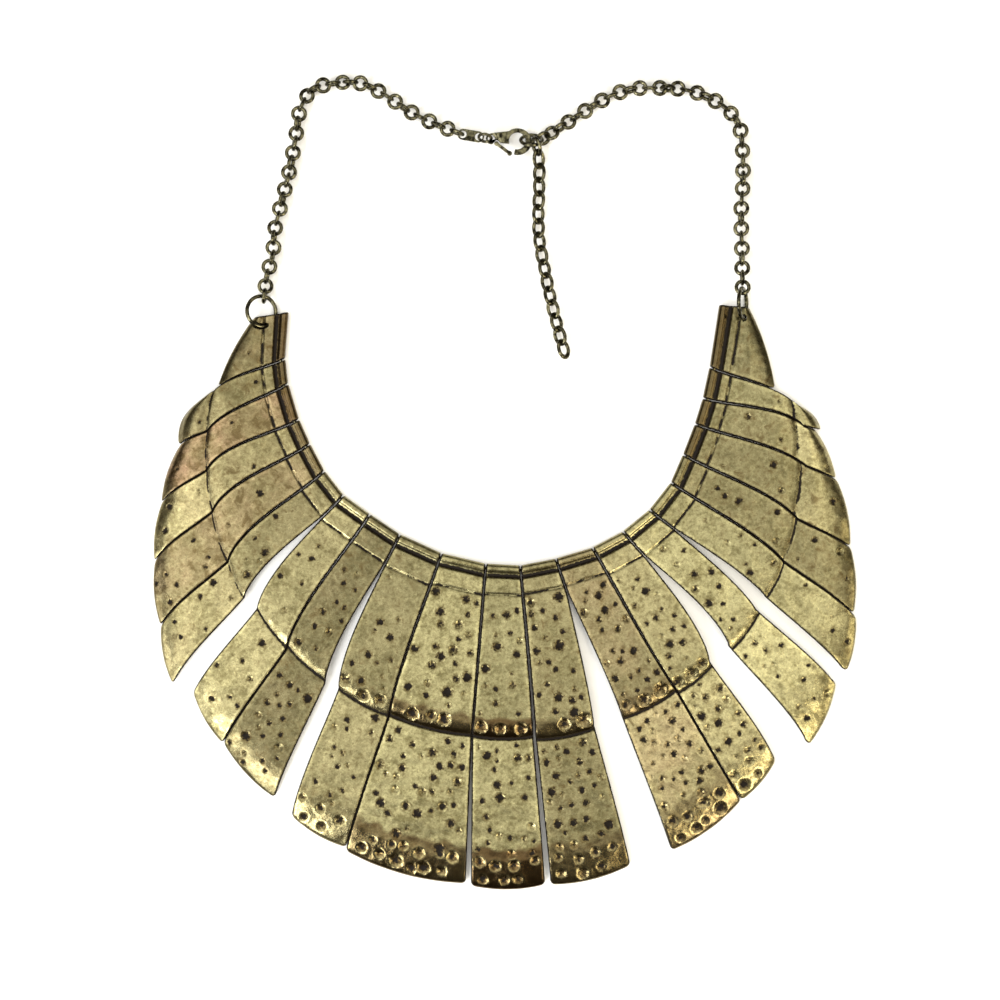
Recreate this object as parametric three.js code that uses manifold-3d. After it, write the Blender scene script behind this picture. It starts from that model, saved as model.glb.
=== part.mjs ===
// Bib necklace: hammered brass plates fanned round the neckline, strung through rolled beads and closed by
// two runs of rolo chain, a lobster clasp and a curb extender. It lies face up on z = 0, clasp towards +Y.
// Millimetres, +Z up; the origin is the middle of the footprint.
import * as THREE from "three";
import { mergeVertices } from "three/addons/utils/BufferGeometryUtils.js";
import Module from "manifold-3d";

const wasm = await Module();
wasm.setup();

// Three lines that every plate meets: its bead, the step across it and its outer rim.
// Angles on them are in degrees from straight down (-Y), positive towards +X.
const lines = {
  neck: { x: 0, y: 36.5, rx: 59.5, ry: 59.5 },
  step: { x: 0.2, y: 6.6, rx: 80.8, ry: 76.3 },
  rim: { x: 0, y: -23.2, rx: 95, ry: 86.4 },
};

// A seam is the line between two plates; the first and last are the free edges of the end plates.
// neckOut moves its bead end off the neck line, the gaps are its width, bow is how far it curves (mm).
const neckGap = 0.8;
const seams = table(
  ["neck", "neckOut", "step", "rim", "stepGap", "rimGap", "bow"],
  [-98.5, 1.0, -119, -130, 1.0, 1.0, 0],
  [-86, 1.3, -103.5, -121.5, 1.0, 1.0, -0.8],
  [-79.5, 1.3, -95, -112, 1.1, 1.1, -1.2],
  [-70, 1.0, -87, -101, 1.0, 1.0, -1.9],
  [-63, 0.9, -78.5, -90.5, 1.5, 1.4, -2.1],
  [-55, 1.3, -68, -79, 1.5, 1.4, -2.2],
  [-47, 1.4, -58.5, -67, 4.4, 6.0, -2.0],
  [-38.5, 0.3, -47, -54.5, 1.3, 1.3, -1.7],
  [-29, 0.3, -35.5, -39.5, 3.8, 5.7, -1.8],
  [-17, 0.6, -23, -27, 1.0, 1.2, -0.8],
  [-5, 1.1, -6.5, -6, 2.1, 3.0, 0],
  [4, 1.5, 5.5, 7, 2.2, 2.0, 0.2],
  [13.5, 1.1, 20, 24.5, 7.8, 11.7, 0.5],
  [23.5, 1.4, 34.5, 42.5, 1.3, 1.1, -0.4],
  [32.5, 1.4, 45.5, 54.5, 6.5, 9.9, 2.0],
  [41.5, 1.0, 58.5, 70.5, 4.1, 4.1, 1.1],
  [50.5, 0, 68, 81.5, 1.2, 1.2, 1.1],
  [58.5, -1.7, 77, 92.5, 1.0, 1.0, 1.4],
  [67.5, -2.6, 88, 104.5, 1.0, 1.0, 1.2],
  [75, -2.8, 96, 114, 1.0, 1.0, 1.6],
  [83.5, -2.6, 99.5, 120, 1.0, 1.0, 1.7],
  [100.5, 0.8, 121.5, 130, 1.0, 1.0, 0],
);

// A plate lies between two seams. bandEnd is how far its second groove lies from the bead's centre line,
// stepOut how far its step lies past the step line, and tipFrom and tipTo how far its outer corners lie past
// the rim line. drop is how far its lip stands over the crease, and swell how round its tip is, as a share of
// its width.
// The end plates have no step: their outer corners are measured from the step line.
const plates = table(
  ["name", "bandEnd", "stepOut", "tipFrom", "tipTo", "drop", "swell"],
  ["plate_01_end", 5.3, 0, -2.6, -0.5, 0, 0.06],
  ["plate_02", 5.4, 0.2, 0, 0.6, 0.7, 0.2],
  ["plate_03", 5.6, -0.2, 0.6, 0, 0.7, 0.06],
  ["plate_04", 5.8, -0.2, -0.2, 0.1, 0.7, 0.06],
  ["plate_05", 6.2, 0.2, 0, 0.2, 0.7, 0.06],
  ["plate_06", 6.8, 0.1, 0.3, 0.6, 0.8, 0.06],
  ["plate_07", 7.5, -0.1, -1.2, -1.9, 1.0, 0.06],
  ["plate_08", 7.5, -0.6, -2.2, -2.5, 1.1, 0.06],
  ["plate_09", 8.0, 0.1, 0.3, -0.4, 1.3, 0.06],
  ["plate_10", 7.2, -0.2, 0.5, 0.4, 1.7, 0.06],
  ["plate_11_centre", 6.9, 0, 1.0, 0.8, 1.7, 0.06],
  ["plate_12", 6.6, 0.9, 1.0, 1.0, 1.6, 0.06],
  ["plate_13", 6.5, 0.7, 0.6, 0, 1.3, 0.06],
  ["plate_14", 7.2, 1.5, 0.1, 0, 1.2, 0.06],
  ["plate_15", 7.4, 1.3, 2.0, 2.4, 1.1, 0.06],
  ["plate_16", 6.7, 0.3, 2.4, 1.6, 1.0, 0.06],
  ["plate_17", 6.3, -0.3, 0.8, -1.4, 0.9, 0.06],
  ["plate_18", 5.8, -1.4, -1.5, -2.3, 0.8, 0.06],
  ["plate_19", 5.3, -2.7, -2.5, -3.2, 0.8, 0.06],
  ["plate_20", 4.9, -3.2, -1.2, -2.6, 0.7, 0.16],
  ["plate_21_end", 4.6, 0, -8.0, -3.1, 0, 0.06],
);

// Lengthwise section of a plate.
const bead = { radius: 1.3, hole: 0.85, sides: 8 };
const band = { start: 2.9, groove: 0.4, sink: 0.35 };
const sheet = { thickness: 1.4, bandTop: 2.8, lipTop: 4.2, lowShare: 0.57, tipTop: 1.4 };
const lip = { run: 6.5, shoulder: 2.4, shoulderShare: 0.35 };
const tip = { run: 10, shoulder: 4.5, foot: 3, nose: 0.4 };
const slices = 2;
const stepSwell = 0.045;
const panelRows = [0.3, 0.54, 0.78];
const panelRise = 0.3;

// Wire goods. around is the number of sides of the wire itself.
const stringing = { radius: 0.45, sides: 6, inset: 3 };
const jumpRing = { radius: 4.1, wire: 0.55, sides: 16, around: 6 };
const rolo = {
  radius: 1.7, wire: 0.53, sides: 8, around: 4, pitch: 2.6, slack: 2.08, wobble: 14,
};
const curb = { radius: 1.6, wire: 0.5, sides: 8, around: 4, stretch: 1.38, pitch: 3.55, roll: 38 };
const swivel = { radius: 1.7, wire: 0.4, sides: 12, around: 6, roll: 63 };
const claspRing = { radius: 3.0, wire: 0.5, sides: 14, around: 6 };
const clearance = 0.34;
const chainHeight = 2.55;

// The chains lie slack, so each route is a smooth curve through points chosen along it: x, y and, where the
// chain climbs onto a ring, z.
const leftRoute = [
  [-65.0, 49.75], [-64.3, 55.5], [-62.8, 60.5], [-62.3, 67.0], [-60.4, 75.0], [-58.2, 83.8], [-56.5, 93.0],
  [-55.2, 100.5], [-52.0, 105.4], [-46.0, 107.2], [-39.2, 107.2], [-33.0, 104.4], [-26.4, 100.0],
  [-19.6, 96.5], [-13.0, 93.95],
];
const rightRoute = [
  [10.35, 92.3], [13.4, 94.3], [18.9, 97.9], [24.0, 101.2], [29.4, 104.2], [35.9, 105.8], [42.0, 105.9],
  [48.9, 105.4], [55.3, 103.2], [60.2, 100.0], [63.3, 95.6], [64.1, 90.0], [64.3, 81.5], [63.8, 72.0],
  [64.0, 62.5, 2.6], [64.0, 57.0, 3.3], [64.0, 51.9, 4.3],
];
const extenderRoute = [
  [8.5, 89.9, 4.5], [9.2, 86.0, 2.6], [9.2, 78.0], [9.0, 70.0], [9.4, 64.0], [10.6, 57.5], [12.0, 50.5],
  [13.8, 43.0], [15.8, 35.4],
];

// Where the jump rings sit in the end plates: centre, and roll from lying flat.
const leftJump = { x: -65.8, y: 45.6, z: 2.75, roll: 25 };
const rightJump = { x: 64.0, y: 47.6, z: 4.4, roll: 69 };

// Clasp, from left to right: tab, swivel ring, claw with an eye, lever, ring.
const tab = { from: [-11.4, 93.4], to: [-7.1, 92.7], hole: 1.05, radius: 1.5, thickness: 0.6, sides: 12 };
const claw = {
  eye: [-3.7, 92.2], eyeRadius: 1.5, eyeHole: 1.0, eyeThickness: 0.7, thickness: 1.1,
  outer: { x: 3.4, y: 91.4, rx: 3.8, ry: 3.6 }, inner: { x: 3.3, y: 91.6, rx: 2.25, ry: 2.3 },
  tipAngle: -105, shoulderAngle: 128, cornerAngle: 200, sides: 18,
};
const lever = {
  hinge: [-2.3, 90.9], nub: [1.25, 88.25], hingeRadius: 0.6, nubRadius: 0.65, width: 0.8, thickness: 1.1,
};
const claspRingAt = { x: 7.15, y: 91.8, z: 2.8, roll: -53 };

const finish = {
  plate: new THREE.MeshStandardMaterial({ color: 0xa99c6c, roughness: 0.42, metalness: 1 }),
  chain: new THREE.MeshStandardMaterial({ color: 0x5d5a3e, roughness: 0.35, metalness: 1 }),
};

const necklace = new THREE.Group();
necklace.name = "bib_necklace";

function table(columns, ...rows) {
  return rows.map((row) => Object.fromEntries(columns.map((column, i) => [column, row[i]])));
}

function addPiece(name, geometry, material) {
  const clean = geometry.index ? geometry.toNonIndexed() : geometry;
  clean.computeVertexNormals();
  const mesh = new THREE.Mesh(clean, material);
  mesh.name = name;
  necklace.add(mesh);
}

function toSolid(geometry) {
  const bare = new THREE.BufferGeometry();
  bare.setAttribute("position", geometry.getAttribute("position"));
  if (geometry.index) bare.setIndex(geometry.index);
  const welded = mergeVertices(bare, 1e-4);
  const vertProperties = new Float32Array(welded.getAttribute("position").array);
  const triVerts = new Uint32Array(welded.index.array);
  return new wasm.Manifold(new wasm.Mesh({ numProp: 3, vertProperties, triVerts }));
}

function fromSolid(solid) {
  const mesh = solid.getMesh();
  const geometry = new THREE.BufferGeometry();
  geometry.setAttribute("position", new THREE.BufferAttribute(mesh.vertProperties, 3));
  geometry.setIndex(new THREE.BufferAttribute(mesh.triVerts, 1));
  return geometry;
}

const lerp = THREE.MathUtils.lerp;
const clamp01 = (t) => THREE.MathUtils.clamp(t, 0, 1);

function pointOn(line, degrees, out = 0) {
  const angle = THREE.MathUtils.degToRad(degrees);
  const across = (line.rx + out) * Math.sin(angle);
  const down = (line.ry + out) * Math.cos(angle);
  return new THREE.Vector2(line.x + across, line.y - down);
}

// The bow of a seam rises slowly from the bead, peaks at two thirds of the way and falls fast to the step.
function bowShape(t) {
  if (t <= 0 || t >= 1) return 0;
  const peak = 0.68;
  return (t / peak) ** 1.7 * ((1 - t) / (1 - peak)) ** 0.8;
}

// Point on the edge of a seam. way is 0 at the bead, 1 at the step line and 2 at the rim line; hand is -1 for
// the edge of the plate before the seam and 1 for the plate after it.
function seamEdge(seam, way, hand) {
  const neck = pointOn(lines.neck, seam.neck, seam.neckOut);
  const step = pointOn(lines.step, seam.step);
  const rim = pointOn(lines.rim, seam.rim);
  const upper = step.clone().sub(neck).normalize();
  const lower = rim.clone().sub(step).normalize();
  const along = upper.clone().lerp(lower, clamp01((way - 0.8) / 0.4)).normalize();
  const across = new THREE.Vector2(-along.y, along.x);
  const point = way <= 1 ? neck.clone().lerp(step, way) : step.clone().lerp(rim, way - 1);
  const bow = way <= 1 ? seam.bow * bowShape(way) : 0.45 * seam.bow * bowShape(way - 1);
  const pastStep = clamp01(way - 1);
  const gap = way <= 1 ? lerp(neckGap, seam.stepGap, way) : lerp(seam.stepGap, seam.rimGap, pastStep);
  return point.addScaledVector(across, bow + (hand * gap) / 2);
}

function seamLengths(seam) {
  const step = pointOn(lines.step, seam.step);
  return {
    upper: step.distanceTo(pointOn(lines.neck, seam.neck, seam.neckOut)),
    lower: step.distanceTo(pointOn(lines.rim, seam.rim)),
  };
}

// Works out a plate's plan: how long it is and where a point lies that is `run` mm from the bead's centre
// line and a share `u` of the way from its first seam to its second.
function platePlan(plate, before, after, isEnd) {
  const sides = [
    { seam: before, hand: 1, out: plate.tipFrom, ...seamLengths(before) },
    { seam: after, hand: -1, out: plate.tipTo, ...seamLengths(after) },
  ];
  for (const side of sides) {
    const stepOut = isEnd ? side.out : plate.stepOut;
    side.stepWay = 1 + stepOut / (stepOut > 0 ? side.lower : side.upper);
    side.tipWay = 2 + side.out / side.lower;
    side.upperRun = side.upper + stepOut;
    side.lowerRun = side.lower + side.out - stepOut;
  }
  const upper = (sides[0].upperRun + sides[1].upperRun) / 2;
  const lower = isEnd ? 0 : (sides[0].lowerRun + sides[1].lowerRun) / 2;
  const wayAt = (side, run) => {
    if (run > upper) return lerp(side.stepWay, side.tipWay, (run - upper) / lower);
    const spread = clamp01((run - plate.bandEnd) / (upper - plate.bandEnd));
    return run / side.upper + (side.stepWay - upper / side.upper) * spread;
  };
  const at = (run, u) => {
    const a = seamEdge(sides[0].seam, wayAt(sides[0], run), 1);
    const b = seamEdge(sides[1].seam, wayAt(sides[1], run), -1);
    const chord = b.clone().sub(a);
    const outward = new THREE.Vector2(chord.y, -chord.x);
    const pastStep = run > upper ? (run - upper) / lower : 0;
    const share = lerp(stepSwell, plate.swell, pastStep) * clamp01(run / upper) ** 2;
    return a.addScaledVector(chord, u).addScaledVector(outward, share * 4 * u * (1 - u));
  };
  return { upper, lower, at };
}

// Lengthwise section, x away from the bead and y up. It runs along the top and back underneath.
function plateSection(upper, lower, { bandEnd, drop }) {
  const length = upper + lower;
  const isEnd = lower === 0;
  const corner = bead.radius / Math.cos(Math.PI / bead.sides);
  const beadCorner = (i) => {
    const angle = ((i + 0.5) * 2 * Math.PI) / bead.sides;
    return [corner * Math.cos(angle), bead.radius + corner * Math.sin(angle)];
  };
  const { thickness, bandTop, lipTop, lowShare, tipTop } = sheet;
  const creaseTop = lipTop - drop;
  const lowTop = lipTop - lowShare * drop;
  const shoulderTop = lipTop - lip.shoulderShare * drop;
  const crest = isEnd ? lerp(bandTop, lipTop, 0.4) : lipTop;
  const endRun = isEnd ? Math.min(4.5, upper * 0.35) : Math.min(tip.run, lower * 0.6);
  const shoulderRun = endRun * (tip.shoulder / tip.run);
  const foot = Math.min(tip.foot, endRun * 0.4);
  const panel = panelRows.map((share) => {
    const run = lerp(bandEnd, upper - lip.run, share);
    return [run, lerp(bandTop, lipTop, lerp(panelRise, 1, share))];
  });
  const top = [
    ...[6, 5, 4, 3, 2, 1, 0].map(beadCorner),
    [band.start - 2 * band.groove, bandTop - 2 * band.sink],
    [band.start, bandTop],
    [bandEnd - band.groove, bandTop],
    [bandEnd, bandTop - band.sink],
    [bandEnd + band.groove, bandTop],
  ];
  const under = [[band.start, bandTop - thickness], [1.5, 0.7]];
  if (isEnd) {
    top.push([lerp(bandEnd, upper - endRun, 0.8), crest], [length - endRun, crest]);
    under.unshift([length - endRun, crest - thickness], [bandEnd + 1, bandTop - thickness]);
  } else {
    const lowCrest = lerp(creaseTop, lowTop, 0.8);
    top.push(...panel, [upper - lip.run, lipTop], [upper - lip.shoulder, shoulderTop]);
    top.push([upper - 0.3, creaseTop], [upper + 0.5, lowCrest], [length - endRun, lowTop]);
    under.unshift(
      [length - endRun, lowTop - thickness], [upper + 0.2, creaseTop - thickness],
      [upper - lip.shoulder, shoulderTop - thickness], [upper - lip.run, lipTop - thickness],
      ...panel.toReversed().map(([x, y]) => [x, y - thickness]),
    );
  }
  const edge = isEnd ? crest - 1.2 : tipTop;
  const sole = isEnd ? edge - 1.1 : 0;
  top.push([length - shoulderRun, lerp(isEnd ? crest : lowTop, edge, 0.45)], [length - tip.nose, edge]);
  top.push([length, sole + 0.5], [length - tip.nose, sole], [length - foot, sole]);
  return [...top, ...under];
}

function plateGeometry(plate, plan) {
  const section = plateSection(plan.upper, plan.lower, plate);
  const outline = new THREE.Shape(section.map(([x, y]) => new THREE.Vector2(x, y)));
  const channel = [];
  for (let i = 0; i < bead.sides; i++) {
    const angle = (i * 2 * Math.PI) / bead.sides;
    channel.push(new THREE.Vector2(bead.hole * Math.cos(angle), bead.radius + bead.hole * Math.sin(angle)));
  }
  outline.holes.push(new THREE.Path(channel));
  const geometry = new THREE.ExtrudeGeometry(outline, { depth: 1, steps: slices, bevelEnabled: false });
  const position = geometry.getAttribute("position");
  for (let i = 0; i < position.count; i++) {
    const place = plan.at(position.getX(i), 1 - position.getZ(i));
    position.setXYZ(i, place.x, place.y, position.getY(i));
  }
  return geometry;
}

// A ring of wire whose own X axis points along `along`; roll turns it about that axis, from lying flat at 0.
function ringAt(centre, along, roll, shape, fat = 0) {
  const geometry = new THREE.TorusGeometry(shape.radius, shape.wire + fat, shape.around, shape.sides);
  const x = along.clone().normalize();
  const y = new THREE.Vector3(0, 0, 1).cross(x).normalize();
  const z = x.clone().cross(y);
  const place = new THREE.Matrix4().makeBasis(x, y, z).setPosition(centre);
  place.multiply(new THREE.Matrix4().makeRotationX(THREE.MathUtils.degToRad(roll)));
  place.scale(new THREE.Vector3(shape.stretch ?? 1, 1, 1));
  return geometry.applyMatrix4(place);
}

// Flat disc or slab standing on z, pushed to its height.
function slab(shape, thickness, height, curveSegments) {
  const geometry = new THREE.ExtrudeGeometry(shape, { depth: thickness, curveSegments, bevelEnabled: false });
  return geometry.translate(0, 0, height - thickness / 2);
}

function discAt([x, y], radius, thickness, height, sides) {
  const geometry = new THREE.CylinderGeometry(radius, radius, thickness, sides);
  return geometry.rotateX(Math.PI / 2).translate(x, y, height);
}

// Straight bar with round ends between two points of the plan.
function barBetween(from, to, width, thickness, height, sides) {
  const a = new THREE.Vector2(...from);
  const b = new THREE.Vector2(...to);
  const long = b.clone().sub(a);
  const box = new THREE.BoxGeometry(long.length(), width, thickness);
  box.rotateZ(long.angle()).translate((a.x + b.x) / 2, (a.y + b.y) / 2, height);
  const ends = [from, to].map((end) => discAt(end, width / 2, thickness, height, sides));
  return [box, ...ends].map(toSolid).reduce((all, next) => all.add(next));
}

// Links of a chain along its route, alternately on edge (even) and flat (odd); returns them in order.
function linksAlong(route, shape, { count, rollAt, spacing = () => shape.pitch }) {
  const points = route.map(([x, y, z]) => new THREE.Vector3(x, y, z ?? chainHeight));
  const curve = new THREE.CatmullRomCurve3(points);
  const gaps = Array.from({ length: count - 1 }, (_, i) => spacing(i));
  const total = gaps.reduce((sum, gap) => sum + gap, 0);
  const links = [];
  let travelled = 0;
  for (let i = 0; i < count; i++) {
    const share = travelled / total;
    links.push(ringAt(curve.getPointAt(share), curve.getTangentAt(share), rollAt(i), shape));
    travelled += gaps[i] ?? 0;
  }
  return links;
}

function join(geometries) {
  return fromSolid(geometries.map(toSolid).reduce((all, next) => all.add(next)));
}

// Plates, each threaded by a ring at the two ends.
plates.forEach((plate, i) => {
  const isEnd = i === 0 || i === plates.length - 1;
  plate.plan = platePlan(plate, seams[i], seams[i + 1], isEnd);
  plate.geometry = plateGeometry(plate, plate.plan);
});

function fitJumpRing(name, plate, spot) {
  const centre = new THREE.Vector3(spot.x, spot.y, spot.z);
  const upright = new THREE.Vector3(0, 1, 0);
  const ring = ringAt(centre, upright, spot.roll, jumpRing);
  const room = ringAt(centre, upright, spot.roll, jumpRing, clearance);
  plate.geometry = fromSolid(toSolid(plate.geometry).subtract(toSolid(room)));
  return { name, ring };
}

const jumps = [
  fitJumpRing("jump_ring_left", plates[0], leftJump),
  fitJumpRing("jump_ring_right", plates[plates.length - 1], rightJump),
];
for (const plate of plates) addPiece(plate.name, plate.geometry, finish.plate);
for (const jump of jumps) addPiece(jump.name, jump.ring, finish.chain);

// Stringing wire through every bead, straight in a plate and bent in the gaps.
class Polyline extends THREE.Curve {
  constructor(points) {
    super();
    this.points = points;
  }
  getPoint(t) {
    const place = t * (this.points.length - 1);
    const i = Math.min(Math.floor(place), this.points.length - 2);
    return this.points[i].clone().lerp(this.points[i + 1], place - i);
  }
  getPointAt(t) {
    return this.getPoint(t);
  }
  getTangentAt(t) {
    return this.getTangent(t);
  }
}

const wirePoints = plates.flatMap(({ plan }) => [plan.at(0, 0), plan.at(0, 1)]);
const lastPoint = wirePoints.length - 1;
const pullIn = (end, next) => end.add(next.clone().sub(end).setLength(stringing.inset));
pullIn(wirePoints[0], wirePoints[1]);
pullIn(wirePoints[lastPoint], wirePoints[lastPoint - 1]);
const wirePath = new Polyline(wirePoints.map((point) => new THREE.Vector3(point.x, point.y, bead.radius)));
const wireShape = new THREE.Shape();
wireShape.absarc(0, 0, stringing.radius, 0, 2 * Math.PI);
const wireGeometry = new THREE.ExtrudeGeometry(wireShape, {
  extrudePath: wirePath, steps: lastPoint, curveSegments: stringing.sides / 2, bevelEnabled: false,
});
addPiece("stringing_wire", wireGeometry, finish.chain);

// Rolo chains: three joined solids a side, with a little slack between the solids.
// lean tilts the first links with the ring that they hang on, and dies out along the chain.
function addRolo(name, route, { count, perSolid, lean }) {
  const links = linksAlong(route, rolo, {
    count,
    rollAt: (i) => {
      const sway = rolo.wobble * Math.sin(1.7 * i) * Math.sin((Math.PI * i) / (count - 1));
      return (i % 2 ? 0 : 90) + sway + lean * 0.6 ** i;
    },
    spacing: (i) => ((i + 1) % perSolid ? rolo.pitch : rolo.slack),
  });
  for (let i = 0; i < count; i += perSolid) {
    addPiece(`${name}_${1 + i / perSolid}`, join(links.slice(i, i + perSolid)), finish.chain);
  }
}
addRolo("chain_left", leftRoute, { count: 39, perSolid: 13, lean: 0 });
addRolo("chain_right", rightRoute, { count: 40, perSolid: 14, lean: -45 });

const extenderLinks = linksAlong(extenderRoute, curb, {
  count: 16,
  rollAt: (i) => (i === 0 ? 61 : i % 2 ? -curb.roll : curb.roll),
});
addPiece("extender", join(extenderLinks), finish.chain);

// Clasp.
let tabSolid = barBetween(tab.from, tab.to, 2 * tab.radius, tab.thickness, chainHeight, tab.sides);
for (const end of [tab.from, tab.to]) {
  tabSolid = tabSolid.subtract(toSolid(discAt(end, tab.hole, 2 * tab.thickness, chainHeight, tab.sides)));
}
addPiece("connector_tab", fromSolid(tabSolid), finish.chain);

const tabEnd = new THREE.Vector3(...tab.to, chainHeight);
const clawEye = new THREE.Vector3(...claw.eye, chainHeight);
const swivelCentre = tabEnd.clone().lerp(clawEye, 0.5);
const swivelRing = ringAt(swivelCentre, clawEye.clone().sub(tabEnd), swivel.roll, swivel);
addPiece("swivel_ring", swivelRing, finish.chain);

function clawSolid() {
  const radians = THREE.MathUtils.degToRad;
  const { outer, inner, eye, eyeRadius } = claw;
  const shape = new THREE.Shape();
  const [tipEnd, shoulder, corner] = [claw.tipAngle, claw.shoulderAngle, claw.cornerAngle].map(radians);
  shape.absellipse(outer.x, outer.y, outer.rx, outer.ry, tipEnd, shoulder, false);
  shape.lineTo(eye[0], eye[1] + eyeRadius);
  shape.lineTo(eye[0] + 0.3 * eyeRadius, eye[1] - 0.6 * eyeRadius);
  shape.absellipse(inner.x, inner.y, inner.rx, inner.ry, corner, tipEnd, true);
  shape.closePath();
  const disc = (at, radius, thickness) => toSolid(discAt(at, radius, thickness, chainHeight, tab.sides));
  const body = toSolid(slab(shape, claw.thickness, chainHeight, claw.sides));
  const thickPart = body.subtract(disc(eye, eyeRadius + 0.2, 2 * claw.thickness));
  const thinPart = body.intersect(disc(eye, 2 * eyeRadius, claw.eyeThickness));
  const eyeRim = disc(eye, eyeRadius, claw.eyeThickness);
  const hole = disc(eye, claw.eyeHole, 2 * claw.thickness);
  const hingeRoom = disc(lever.hinge, lever.hingeRadius + clearance, 2 * claw.thickness);
  return thickPart.add(thinPart).add(eyeRim).subtract(hole).subtract(hingeRoom);
}
addPiece("clasp_body", fromSolid(clawSolid()), finish.chain);

const leverSolid = [
  barBetween(lever.hinge, lever.nub, lever.width, lever.thickness, chainHeight, 8),
  toSolid(discAt(lever.hinge, lever.hingeRadius, lever.thickness, chainHeight, 12)),
  toSolid(discAt(lever.nub, lever.nubRadius, lever.thickness, chainHeight, 12)),
].reduce((all, next) => all.add(next));
addPiece("clasp_lever", fromSolid(leverSolid), finish.chain);

const ringCentre = new THREE.Vector3(claspRingAt.x, claspRingAt.y, claspRingAt.z);
const sideways = new THREE.Vector3(1, 0, 0);
addPiece("clasp_ring", ringAt(ringCentre, sideways, claspRingAt.roll, claspRing), finish.chain);

export default necklace;
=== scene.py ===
import math
import random

import bmesh
import bpy
from mathutils import Matrix, Vector, kdtree, noise


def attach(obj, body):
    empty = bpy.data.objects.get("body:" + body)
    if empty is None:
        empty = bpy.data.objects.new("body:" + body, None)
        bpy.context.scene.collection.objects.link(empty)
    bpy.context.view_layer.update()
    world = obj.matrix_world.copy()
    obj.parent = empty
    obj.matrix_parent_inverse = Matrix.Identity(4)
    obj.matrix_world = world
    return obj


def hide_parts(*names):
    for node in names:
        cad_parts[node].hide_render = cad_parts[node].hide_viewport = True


# Antique brass bib necklace lying face up on a pale floor, its clasp towards +Y.
# Tables and settings are in millimetres and are turned to metres where the meshes are made.
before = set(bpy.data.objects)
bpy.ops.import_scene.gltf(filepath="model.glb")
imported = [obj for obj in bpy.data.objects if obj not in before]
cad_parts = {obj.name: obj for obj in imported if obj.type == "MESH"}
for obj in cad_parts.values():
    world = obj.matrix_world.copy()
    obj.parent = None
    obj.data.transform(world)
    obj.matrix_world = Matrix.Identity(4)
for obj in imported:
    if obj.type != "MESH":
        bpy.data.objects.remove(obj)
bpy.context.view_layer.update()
mm = 0.001


def table(columns, *lines):
    return [dict(zip(columns, line)) for line in lines]


def linear(hexColour):
    channels = [int(hexColour[i:i + 2], 16) / 255 for i in (0, 2, 4)]
    return [c / 12.92 if c <= 0.04045 else ((c + 0.055) / 1.055) ** 2.4 for c in channels] + [1.0]


def lerp(a, b, t):
    return a + (b - a) * t


def clamp01(t):
    return max(0.0, min(1.0, t))


# Layout: every plate meets three lines and lies between two seams. Angles are from -Y, positive towards +X.
lines = {
    "neck": {"x": 0, "y": 36.5, "rx": 59.5, "ry": 59.5},
    "step": {"x": 0.2, "y": 6.6, "rx": 80.8, "ry": 76.3},
    "rim": {"x": 0, "y": -23.2, "rx": 95, "ry": 86.4},
}
# How a joint between two plates runs: narrow at the beads, opening and turning on its way to the step line.
joint = {"neckGap": 0.3, "openFrom": 0.2, "turnFrom": 0.8, "turnOver": 0.4}
seams = table(
    ["neck", "neckOut", "step", "rim", "stepGap", "rimGap", "bow"],
    [-98.5, 1, -119, -130, 0.06, 0.06, 0],
    [-86, 1.3, -103.5, -121.5, 0.06, 0.06, -0.8],
    [-79.5, 1.3, -95, -112, 0.06, 0.06, -1.2],
    [-70, 1, -87, -101, 0.06, 0.06, -1.9],
    [-63, 0.9, -78.5, -90.5, 0.06, 0.06, -2.1],
    [-55, 1.3, -68, -79, 0.06, 0.06, -2.2],
    [-47, 1.4, -58.5, -67, 4.4, 6, -2],
    [-38.5, 0.3, -47, -54.5, 0.06, 0.06, -1.7],
    [-29, 0.3, -35.5, -39.5, 3.8, 5.7, -1.8],
    [-17, 0.6, -23, -27, 0.06, 0.06, -0.8],
    [-5, 1.1, -6.5, -6, 0.15, 1.4, 0],
    [4, 1.5, 5.5, 7, 0.6, 1.5, 0.2],
    [13.5, 1.1, 20, 24.5, 7.8, 11.7, 0.5],
    [23.5, 1.4, 34.5, 42.5, 0.06, 0.06, -0.4],
    [32.5, 1.4, 45.5, 54.5, 6.5, 9.9, 2],
    [41.5, 1, 58.5, 70.5, 4.1, 4.1, 1.1],
    [50.5, 0, 68, 81.5, 0.06, 0.06, 1.1],
    [58.5, -1.7, 77, 92.5, 0.06, 0.06, 1.4],
    [67.5, -2.6, 88, 104.5, 0.06, 0.06, 1.2],
    [75, -2.8, 96, 114, 0.06, 0.06, 1.6],
    [83.5, -2.6, 99.5, 120, 0.06, 0.06, 1.7],
    [100.5, 0.8, 121.5, 130, 0.06, 0.06, 0],
)

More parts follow.
